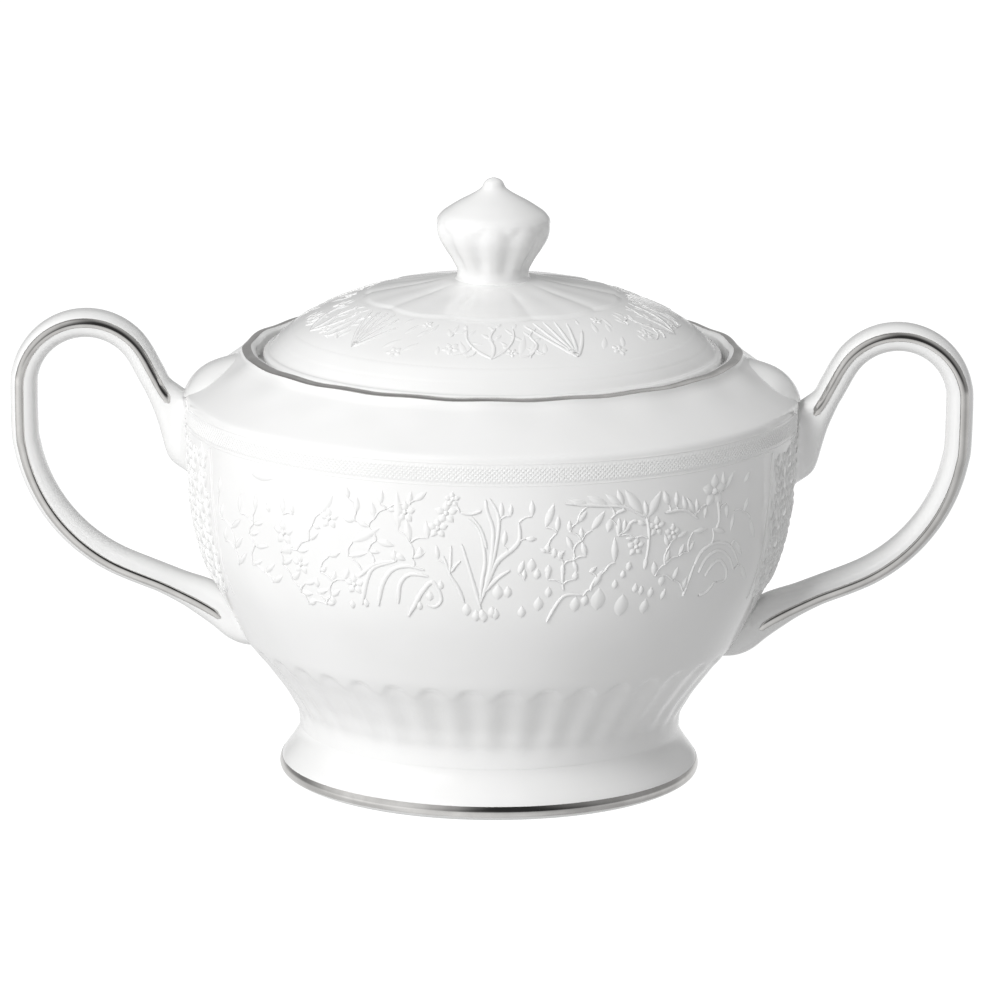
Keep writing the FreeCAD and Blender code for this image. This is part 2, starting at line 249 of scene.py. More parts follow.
def bump(finish, source, strength, depth_mm, under=None):
    """Fine unevenness of the surface, on top of another bump where one is given."""
    nodes, links = finish.node_tree.nodes, finish.node_tree.links
    node = nodes.new("ShaderNodeBump")
    node.inputs["Strength"].default_value = strength
    node.inputs["Distance"].default_value = depth_mm * MM
    links.new(source, node.inputs["Height"])
    if under:
        links.new(under, node.inputs["Normal"])
    return node.outputs["Normal"]


def make_porcelain():
    """White glazed porcelain: a faintly cloudy body, a slow ripple and pinholes in the glaze."""
    finish, shader = new_finish("porcelain_glaze")
    links = finish.node_tree.links
    cloud = noise(finish, 45, 3)
    links.new(ramp(finish, cloud.outputs["Fac"], (0.845, 0.845, 0.84), (0.875, 0.875, 0.872)),
              shader.inputs["Base Color"])
    gloss = noise(finish, 160, 2)
    links.new(ramp(finish, gloss.outputs["Fac"], 0.10, 0.17), shader.inputs["Roughness"])
    ripple = noise(finish, 140, 2)
    pits = noise(finish, 2600, 1)
    waves = bump(finish, ripple.outputs["Fac"], 0.35, 0.05)
    pinholes = ramp(finish, pits.outputs["Fac"], 0.0, 1.0, 0.22, 0.30)
    links.new(bump(finish, pinholes, 0.1, 0.02, waves), shader.inputs["Normal"])
    shader.inputs["IOR"].default_value = GLAZE_IOR
    shader.inputs["Coat Weight"].default_value = 0.5
    shader.inputs["Coat Roughness"].default_value = 0.08
    shader.inputs["Coat IOR"].default_value = GLAZE_IOR
    return finish


def make_platinum():
    """Burnished platinum painted over the glaze: brush streaks, slightly uneven."""
    finish, shader = new_finish("platinum_line")
    links = finish.node_tree.links
    tone = noise(finish, 220, 3)
    links.new(ramp(finish, tone.outputs["Fac"], (0.61, 0.60, 0.585), (0.70, 0.69, 0.675)),
              shader.inputs["Base Color"])
    streak = noise(finish, 900, 4, 0.7)
    links.new(ramp(finish, streak.outputs["Fac"], 0.07, 0.15), shader.inputs["Roughness"])
    links.new(bump(finish, tone.outputs["Fac"], 0.4, 0.02), shader.inputs["Normal"])
    shader.inputs["Metallic"].default_value = 1.0
    return finish


PORCELAIN = make_porcelain()
PLATINUM = make_platinum()

# ---- bowl -------------------------------------------------------------------------------
FLUTES = 40
RIM_LOBES = 20
PETALS = 10
# Each row is a height and the outer radius there.
BELLY = [
    (9.2, 36.7), (11, 36.85), (13, 37.35), (14.8, 38.4), (17.2, 39.9), (19.8, 41.85),
    (22.5, 43.9), (25.1, 46.0), (27.7, 47.8), (30.3, 49.25), (32.9, 50.65), (35.5, 52.0),
    (38.1, 53.3), (40.7, 54.5), (43.3, 55.5), (45.9, 56.3), (48.6, 56.95), (51.2, 57.45),
    (53.8, 57.85), (56.4, 58.2), (59, 58.5), (62, 58.7), (66, 58.85), (70, 58.95), (73.4, 59.0),
]
belly_radius = table_curve(BELLY)
BELLY_TOP_Z = BELLY[-1][0]
SHOULDER_LOW = (57.8, 75.2)
SHOULDER_TOP = (48.0, 82.0)
SHOULDER_EDGE = [(58.95, 73.9), (58.75, 74.4), (58.35, 74.8), SHOULDER_LOW]
WALL = 3.2
LIP_HALF = 1.4
LIP_RISE = 0.75
LIP_MID = (46.65, RIM_Z - LIP_RISE + 0.1)
GALLERY_R = 45.3
LEDGE_Z = 79.3
MOUTH_R = 41.6
FLUTE_TOP_Z = 27.6
FLUTE_ARCH = 2.3
FLUTE_DEPTH = 0.5
FLUTE_TURN = math.radians(4.5)
RIM_WAVE_OUT = 0.08
RIM_WAVE_UP = 0.12
ROUND_STEPS = 480


def spaced(low, high, step):
    """Evenly spaced values from low to high, about a step apart."""
    count = max(1, round((high - low) / step))
    return [low + (high - low) * i / count for i in range(count + 1)]


def lip_point(angle, thicker=0.0):
    """A point on the rounded lip's section, counted from its outer side over the top."""
    turn = math.radians(angle)
    return (LIP_MID[0] + (LIP_HALF + thicker) * math.cos(turn),
            LIP_MID[1] + (LIP_RISE + thicker) * math.sin(turn))


def scallop(around):
    """The rim's lobes: 1 in the middle of each lobe, -1 at the notch between two."""
    return math.cos(RIM_LOBES * around)


def shape_bowl(radius, around, z):
    """Flutes over the waist and lobes round the rim; the inside stays plain."""
    inside = radius < belly_radius(min(z, BELLY_TOP_Z)) - 1.2 and z < LEDGE_Z - 0.3
    if inside or z < WAIST_Z + TINY:
        return radius, z
    if z < 30:
        turn = around + FRONT + FLUTE_TURN
        hollow = 0.5 + 0.5 * math.cos(FLUTES * turn)
        top = FLUTE_TOP_Z - FLUTE_ARCH * (1 - hollow) ** 1.5
        depth = FLUTE_DEPTH * (0.3 + 0.7 * hollow) * ease((top - z) / 1.3)
        depth *= ease((z - 10.0) / 8)
        return radius - depth, z
    if z > SHOULDER_LOW[1] - 0.2:
        reach = ease((radius - 40) / 6) * (1 - ease((radius - 47.5) / 10))
        wave = reach * scallop(around)
        return radius + RIM_WAVE_OUT * wave, z + RIM_WAVE_UP * wave
    return radius, z


def on_shoulder(share):
    """A point on the sloping shoulder, from its foot to its top."""
    return tuple(low + (top - low) * share for low, top in zip(SHOULDER_LOW, SHOULDER_TOP))


# Up the outside, over the lip, down the gallery and the inside, back to the axis.
outline = [(0.0, 9.6), (20.0, 9.6), (33.0, 9.6), (35.5, 9.4)]
outline += [(belly_radius(z), z) for z in spaced(WAIST_Z, 20, 0.6)]
outline += [(belly_radius(z), z) for z in spaced(20, 29, 0.3)[1:]]
outline += [(belly_radius(z), z) for z in spaced(29, BELLY_TOP_Z, 1.5)[1:]]
outline += SHOULDER_EDGE
outline += [on_shoulder(share) for share in spaced(0.12, 0.96, 0.12)]
outline += [lip_point(angle) for angle in range(0, 181, 12)]
outline += [(GALLERY_R, 80.6), (45.25, 79.9), (45.0, 79.45), (44.5, LEDGE_Z), (42.2, LEDGE_Z)]
outline += [(41.8, 79.15), (MOUTH_R, 78.7), (MOUTH_R, 77.4), (41.9, 76.95), (44.0, 76.9)]
outline += [(48.0, 76.2), (53.0, 73.4), (55.3, 70.6)]
outline += [(belly_radius(z) - WALL, z) for z in (66, 60, 54, 48, 42, 36, 30, 25, 21, 18)]
outline += [(33.6, 14.6), (30.0, 13.5), (24.0, 13.2), (10.0, 13.2), (0.0, 13.2)]
bowl = turned(outline, ROUND_STEPS, shape_bowl)
finish_piece(bowl, "bowl_wall", "bowl", PORCELAIN, ["bowl_body"], 50)

# ---- foot and its line, and the rim's line ----------------------------------------------
# Each row is a height and the outer radius there.
FOOT = [
    (0.25, 39.6), (0.6, 40.12), (1.2, 40.45), (2.0, 40.48), (3.0, 40.1), (4.0, 39.45),
    (5.0, 38.7), (6.0, 38.02), (7.0, 37.42), (8.0, 36.95), (8.8, 36.72), (9.2, 36.66),
]
foot_radius = table_curve(FOOT)
FOOT_STEPS = 240
outline = [(33.4, 9.2), (34.0, 6.0), (35.2, 2.0), (35.9, 0.35), (36.4, 0.0), (39.1, 0.0)]
outline += [(foot_radius(z), z) for z in spaced(FOOT[0][0], FOOT[-1][0], 0.3)]
foot = turned(outline + [outline[0]], FOOT_STEPS)
finish_piece(foot, "foot_ring", "bowl", PORCELAIN, ["pedestal_foot"])

# A platinum line stands this far out of the porcelain, and reaches this far into it.
FILM = 0.05
FILM_ROOT = 0.1

outer = [(foot_radius(z) + FILM, z) for z in spaced(0.8, 2.85, 0.2)]
inner = [(foot_radius(z) - FILM_ROOT, z) for z in (2.87, 0.78)]
foot_line = turned(outer + inner + [outer[0]], FOOT_STEPS)
finish_piece(foot_line, "foot_platinum", "bowl", PLATINUM, ["foot_platinum_band"])

outer = [lip_point(angle, FILM) for angle in range(26, 107, 8)]
inner = [lip_point(angle, -FILM_ROOT) for angle in (106, 86, 66, 46, 26)]
rim_line = turned(outer + inner + [outer[0]], ROUND_STEPS, shape_bowl)
finish_piece(rim_line, "rim_platinum", "bowl", PLATINUM, ["rim_platinum_band"])

# ---- lid --------------------------------------------------------------------------------
# Each row is a radius and the height of the dome there.
LID_TOP = [
    (0.0, 96.9), (7.0, 96.85), (10.0, 96.3), (14.0, 95.5), (20.0, 94.4), (26.0, 93.0),
    (32.0, 90.7), (35.0, 89.25), (38.0, 87.5), (41.0, 85.0), (42.6, 83.4),
]
lid_height = table_curve(LID_TOP)
PETAL_EDGE_R = 24.2
PETAL_RISE = 0.28
PETAL_GROOVE = 0.1
PETAL_RIB = 0.05
LID_STEPS = 400


def lid_swell(radius, around):
    """How far the petals round the knob stand up from the lid's dome."""
    turn = PETALS * (around + FRONT) / 2
    lobe = abs(math.cos(turn))
    edge = PETAL_EDGE_R + 1.1 * (lobe ** 0.8 - 0.55)
    inner_fade = ease((radius - 8.5) / 7)
    outer_fade = 1 - ease((radius - edge) / 1.2)
    swell = PETAL_RISE * (1 - ease((radius - edge + 0.6) / 1.1))
    swell -= PETAL_GROOVE * math.exp(-(lobe / 0.26) ** 2) * inner_fade * outer_fade
    swell -= PETAL_RIB * (0.5 + 0.5 * math.cos(4 * turn)) * inner_fade * outer_fade
    return swell * ease((radius - 6.5) / 3)


def shape_lid(radius, around, z):
    if radius < 27 and z > lid_height(radius) - 0.5:
        return radius, z + lid_swell(radius, around)
    return radius, z


# Out over the dome, round the edge, down the flange and back up the inside.
SEAT_Z = LEDGE_Z + 0.02
outline = [(0.0, 96.9), (4.0, 96.9), (6.5, 96.86)]
outline += [(r, lid_height(r)) for r in spaced(7.5, 21, 0.8)]
outline += [(r, lid_height(r)) for r in spaced(21, 27, 0.3)[1:]]
outline += [(r, lid_height(r)) for r in spaced(27, 42.3, 0.9)[1:]]
outline += [(42.6, 83.25), (42.85, 83.0), (43.1, 82.95), (43.4, 82.92), (43.7, 82.75)]
outline += [(43.92, 82.4), (LID_R, 81.9), (LID_R, 79.9), (43.9, 79.5), (43.6, SEAT_Z)]
outline += [(41.2, SEAT_Z), (41.1, 79.1), (41.1, 75.6), (40.8, 75.2), (40.3, LID_LOW_Z)]
outline += [(38.9, LID_LOW_Z), (38.5, 75.3), (38.3, 75.8), (38.3, 79.4), (37.6, 82.4)]
outline += [(r, lid_height(r) - WALL) for r in (35, 30, 24, 18, 12, 8)] + [(0.0, 93.5)]
lid = turned(outline, LID_STEPS, shape_lid)
finish_piece(lid, "lid_cover", "lid", PORCELAIN, ["lid"], 50)

# ---- knob -------------------------------------------------------------------------------
# Each row is a height and the radius there.
KNOB = [
    (96.7, 7.6), (97.1, 7.05), (98.2, 6.95), (99.3, 7.0), (100.3, 7.45), (101.4, 8.1),
    (102.4, 8.8), (103.5, 9.5), (104.5, 10.1), (105.5, 10.5), (106.5, 10.72), (107.4, 10.72),
    (108.1, 10.55), (108.7, 10.3), (109.7, 9.45), (110.7, 8.1), (111.8, 6.5), (112.8, 4.75),
    (113.5, 3.55), (113.9, 2.95), (114.3, 2.45), (114.7, 2.15), (115.1, 1.98), (115.5, 1.78),
    (115.9, 1.42), (116.2, 0.9), (116.33, 0.4),
]
knob_radius = table_curve(KNOB)
KNOB_GROOVE_DEPTH = 0.55
KNOB_FULLER = 0.35
KNOB_FOOT_Z, KNOB_TIP_Z = KNOB[0][0], KNOB[-1][0]
KNOB_STEPS = 240


def shape_knob(radius, around, z):
    """Ten grooves up the stem, which run out near the widest line."""
    turn = PETALS * (around + FRONT - math.radians(0.5))
    hollow = (0.5 - 0.5 * math.cos(turn)) ** 1.3
    top = 108.4 - 1.2 * hollow
    fade = ease((z - 97.0) / 4.0) * (1 - ease((z - top + 1.0) / 2.2))
    fuller = KNOB_FULLER * ease((z - 98.0) / 2.0) * (1 - ease((z - 109.5) / 4.0))
    return radius + fuller - KNOB_GROOVE_DEPTH * fade * hollow, z


outline = [(0.0, KNOB_FOOT_Z)] + [(knob_radius(z), z) for z in spaced(KNOB_FOOT_Z, 106, 0.5)]
outline += [(knob_radius(z), z) for z in spaced(106, 110, 0.25)[1:]]
outline += [(knob_radius(z), z) for z in spaced(110, KNOB_TIP_Z, 0.3)[1:]] + [(0.0, 116.38)]
knob = turned(outline, KNOB_STEPS, shape_knob)
finish_piece(knob, "knob", "lid", PORCELAIN, ["lid_knob"], 60)

# ---- handles ----------------------------------------------------------------------------
# Seen from the front, a loop is two arcs, a small one over the top and a large one below,
# and a straight run at each end that leads to a root.
STRAP_HALF = 2.59
RISE = math.radians(61.8)
LOW_TURN = math.radians(68.5)
TOP_MID, TOP_R = (77.9, 74.8), 12
LOW_MID, LOW_R = (57.9, 68.9), 32
ARC_STEPS = 12
# The left loop was luted on a little higher than the right one. The sides are 1 and -1.
HAND_LIFT = {1: -0.7, -1: 0.7}


def loop_point(mid, radius, angle):
    return mid[0] + radius * math.cos(angle), mid[1] + radius * math.sin(angle)


def loop_edge(shift):
    """Points along the strap, shifted outward from its middle, from upper to lower root."""
    edge = []
    angle_start = math.pi / 2 + RISE
    start = loop_point(TOP_MID, TOP_R + shift, angle_start)
    for run in (6.8, 4.6, 2.3):
        edge.append((start[0] - run * math.cos(RISE), start[1] - run * math.sin(RISE)))
    for step in range(ARC_STEPS + 1):
        edge.append(loop_point(TOP_MID, TOP_R + shift, angle_start * (1 - step / ARC_STEPS)))
    for step in range(1, ARC_STEPS + 1):
        edge.append(loop_point(LOW_MID, LOW_R + shift, -LOW_TURN * step / ARC_STEPS))
    end = edge[-1]
    for run in (3.5, 7.0):
        edge.append((end[0] - run * math.sin(LOW_TURN), end[1] - run * math.cos(LOW_TURN)))
    return edge


# The strap's two edges from its upper root to its lower one, on the side of the finger gap
# and on the outer side, and half its thickness at each pair of points.
GAP_SIDE = (
    [(57.4, 58.6), (59.0, 58.7), (60.4, 59.3), (61.7, 60.3)]
    + [(62.6, 62.0), (63.4, 64.9), (64.6, 69.0)]
    + loop_edge(-STRAP_HALF)
    + [(58.6, 37.6), (55.4, 36.6), (52.8, 35.6), (50.4, 34.0)]
    + [(48.0, 31.5), (46.0, 28.6), (44.0, 25.6)]
)
OUT_SIDE = (
    [(55.8, 60.0), (56.0, 61.0), (56.2, 63.0), (56.5, 66.0)]
    + [(57.0, 69.6), (58.2, 72.6), (59.9, 74.2)]
    + loop_edge(STRAP_HALF)
    + [(59.8, 31.9), (56.8, 29.9), (53.6, 27.6), (50.8, 25.3)]
    + [(48.2, 24.1), (45.6, 23.8), (43.6, 24.4)]
)
WIDTHS = (
    [4.0, 4.5, 4.7, 4.7, 4.7, 4.6, 4.5] + [4.4] * (len(GAP_SIDE) - 14)
    + [4.5, 4.7, 4.9, 5.0, 4.9, 4.6, 4.0]
)
PER_SPAN = 4
gap_path = path_through(GAP_SIDE, PER_SPAN)
out_path = path_through(OUT_SIDE, PER_SPAN)
width_path = [point[0] for point in path_through([(w, 0) for w in WIDTHS], PER_SPAN)]
STATIONS = len(gap_path) - 1
SQUARENESS = 2.6
AROUND_STRAP = 48
UPPER_ROOT = 9 * PER_SPAN
LOWER_ROOT = STATIONS - 9 * PER_SPAN
UPPER_FILLET, LOWER_FILLET = 3.2, 0.7
LINE_FIRST, LINE_LAST = 6 * PER_SPAN, STATIONS - 14
LINE_HALF = 0.86
LINE_PROUD = 0.27
LINE_SHIFT = 0.7


def root_fillet(x, y, z, station):
    """How far the flank sweeps out where the handle runs on to the bowl."""
    fillet = UPPER_FILLET if station < UPPER_ROOT else LOWER_FILLET
    clear = math.hypot(x, y) - belly_radius(min(z, BELLY_TOP_Z))
    nearness = min(1.0, max(0.0, 1 - clear / fillet))
    return fillet * (1 - math.sqrt(1 - nearness * nearness))


def flank_y(spot, depth, station):
    """Half the handle's thickness at a point of its section, with its sweep on to the bowl."""
    y = width_path[station] * depth
    if station < UPPER_ROOT or station > LOWER_ROOT:
        y += root_fillet(spot[0], y, spot[1], station) * depth
    return y


def strap_point(station, angle, side):
    """A point of the strap's rounded oblong section at a station along it."""
    gap, out = gap_path[station], out_path[station]
    mid, reach = (gap + out) / 2, (out - gap) / 2
    cosine, sine = math.cos(angle), math.sin(angle)
    across = math.copysign(abs(cosine) ** (2 / SQUARENESS), cosine)
    depth = abs(sine) ** (2 / SQUARENESS)
    spot = mid + reach * across
    y = math.copysign(flank_y(spot, depth, station), sine)
    return side * spot[0], y, spot[1] + HAND_LIFT[side]


def strap(side):
    def place(u, v):
        return strap_point(round(u * STATIONS), v * TAU, side)

    return wrapped(STATIONS, AROUND_STRAP, place, closed=True)


def flank_line(side, front):
    """The platinum line along one flank, a low bead a little outward of the middle."""
    def place(u, v):
        station = LINE_FIRST + round(u * (LINE_LAST - LINE_FIRST))
        gap, out = gap_path[station], out_path[station]
        reach = (out - gap) / 2
        from_end = min(station - LINE_FIRST, LINE_LAST - station)
        end = min(1.0, (from_end + 0.4) / 1.5)
        shift = LINE_SHIFT + LINE_HALF * end * math.cos(v * math.pi)
        share = min(1.0, abs(shift) / reach.length)
        depth = (1 - share ** SQUARENESS) ** (1 / SQUARENESS)
        spot = (gap + out) / 2 + reach.normalized() * shift
        y = flank_y(spot, depth, station) + LINE_PROUD * math.sin(v * math.pi) * end + 0.01
        return side * spot[0], -front * y, spot[1] + HAND_LIFT[side]

    return wrapped(LINE_LAST - LINE_FIRST, 8, place)


leaf_half = table_curve([(0, 3.6), (0.3, 7.0), (0.55, 9.2), (0.8, 8.6), (1.0, 5.0)])
LEAF_IN_R, LEAF_OUT_R = 48.6, 59.3
LEAF_PLUMP = 1.9


def shoulder_leaf(side):
    """The plump leaf between the rim and the strap."""
    def place(u, v):
        radius = LEAF_IN_R + (LEAF_OUT_R - LEAF_IN_R) * u
        across = 2 * v - 1
        y = leaf_half(u) * across
        rise = LEAF_PLUMP * math.sin(math.pi * u ** 1.25) ** 0.8 * (1 - abs(across) ** 2.4) ** 0.9
        flat = math.sqrt(max(radius * radius - y * y, 1))
        slope = (SHOULDER_TOP[1] - SHOULDER_LOW[1]) / (SHOULDER_LOW[0] - SHOULDER_TOP[0])
        z = SHOULDER_TOP[1] - (radius - SHOULDER_TOP[0]) * slope + rise * 0.82 - 0.12
        return side * (flat + rise * 0.57 - 0.08), y, z

    return wrapped(24, 24, place)


LOOP_MID = (76, 60)
for side, hand in ((1, "right"), (-1, "left")):
    loop = strap(side)
    finish_piece(loop, f"{hand}_handle", "bowl", PORCELAIN, [f"handle_{hand}"], 60)
    leaf = shoulder_leaf(side)
    face_outward(leaf)
    finish_piece(leaf, f"{hand}_shoulder_leaf", "bowl", PORCELAIN, (), 60)
    for front, face in ((1, "front"), (-1, "back")):
        line = flank_line(side, front)
        face_outward(line, (side * LOOP_MID[0], 0, LOOP_MID[1]))
        finish_piece(line, f"{hand}_{face}_platinum", "bowl", PLATINUM,
                     [f"handle_{hand}_{face}_line"], 60)

# ---- raised decoration ------------------------------------------------------------------
# Sprays are laid out flat, in millimetres round and up the bowl, then wrapped on to it.
FRIEZE_R = 58.5
# Each row is a stem's half thickness and the points it runs through, thick end first.
STEMS = [
    (0.5, [(-1.9, 46.3), (-1.5, 51), (-1, 54.2), (-1.2, 57.3), (-2.1, 60.7), (-4.1, 63)]),
    (0.6, [(-1.7, 46.8), (-0.1, 52.6), (0.4, 57.3), (0.4, 61.2), (-0.7, 64.6), (-0.9, 66.6)]),
    (0.65, [(-1.3, 47.8), (1, 54.2), (4.3, 57.3), (5.4, 59.2), (5.2, 62.3)]),
    (0.55, [(-1.1, 48.7), (1.5, 51.5), (3.7, 53)]),
    (0.5, [(-1.8, 45.4), (-3.1, 50.2), (-4.2, 54.1), (-5.3, 58)]),
    (0.5, [(-5, 46.6), (-6.1, 49.4), (-7.6, 52), (-8.7, 55.5)]),
    (0.4, [(-7.6, 52.4), (-7.4, 55.2), (-7.3, 57.6)]),
    (0.4, [(-7.3, 52.6), (-6.4, 53.9), (-5.6, 54.7)]),
    (0.5, [(-0.4, 50.7), (1, 57.3), (1.5, 63.1), (-0.2, 66.9)]),
    (0.45, [(-1.7, 64.6), (-3.5, 63.9), (-5.7, 64.1)]),
    (0.4, [(-0.7, 57.3), (-1.7, 60.8), (-3.5, 63.4)]),
    (0.65, [(-25.7, 44.7), (-24.2, 49.6), (-22.4, 52.4), (-17.9, 54)]),
    (0.65, [(-22.2, 44.8), (-21, 49.1), (-18.8, 52.2), (-15.6, 53.2), (-12.5, 52.6)]),
    (0.6, [(-18, 45.7), (-17.4, 49.5), (-15.3, 51.6), (-11.8, 51.4)]),
    (0.6, [(-16.2, 43.1), (-14.8, 45.3), (-13.1, 48.2), (-11.2, 50.3), (-10, 49.1),
           (-9.4, 46.8), (-10.7, 45.4), (-12.4, 45.7)]),
    (0.55, [(-25.8, 50.2), (-22.3, 53), (-18.7, 53.9)]),
    (0.4, [(13.8, 65.7), (18.4, 65.1), (22.3, 64.7), (25.6, 64.2), (28.1, 62.9), (30.2, 61.7)]),
    (0.4, [(30.2, 61.7), (30.9, 58.8), (30.9, 54.9), (30.4, 51.8)]),
    (0.4, [(25.6, 63.7), (24, 63.2), (22.8, 62.2)]),
    (0.4, [(28.1, 61.3), (26.9, 61.1), (25.5, 59.3)]),
    (0.45, [(11.2, 42.4), (13.1, 46.2), (14.9, 47.8), (18.2, 47.5)]),
    (0.4, [(13.8, 53.9), (13.8, 50.8), (14.1, 48.8)]),
    (0.35, [(19.5, 48.4), (20, 50), (22.2, 52.2)]),
    (0.45, [(47.1, 63.5), (48, 59.1), (47.4, 57.2)]),
    (0.4, [(34.2, 62.2), (38.8, 62.1), (42.3, 60)]),
    (0.5, [(42.6, 51), (44.3, 53.4), (47.9, 54.4), (52.5, 52.9), (56.3, 48.6)]),
    (0.5, [(44, 49.1), (45.6, 51.7), (48.8, 52.7), (52.3, 50.9), (54.9, 47.7)]),
    (0.45, [(45.9, 48.1), (47.7, 50.1), (49.9, 50.5), (52.5, 48.1), (52.5, 46.1), (49.9, 46.2)]),
    (0.45, [(40.9, 44.8), (41.7, 47.9), (42.6, 51)]),
    (0.45, [(45.4, 44.2), (47.5, 44.6), (49.3, 46.3)]),
]
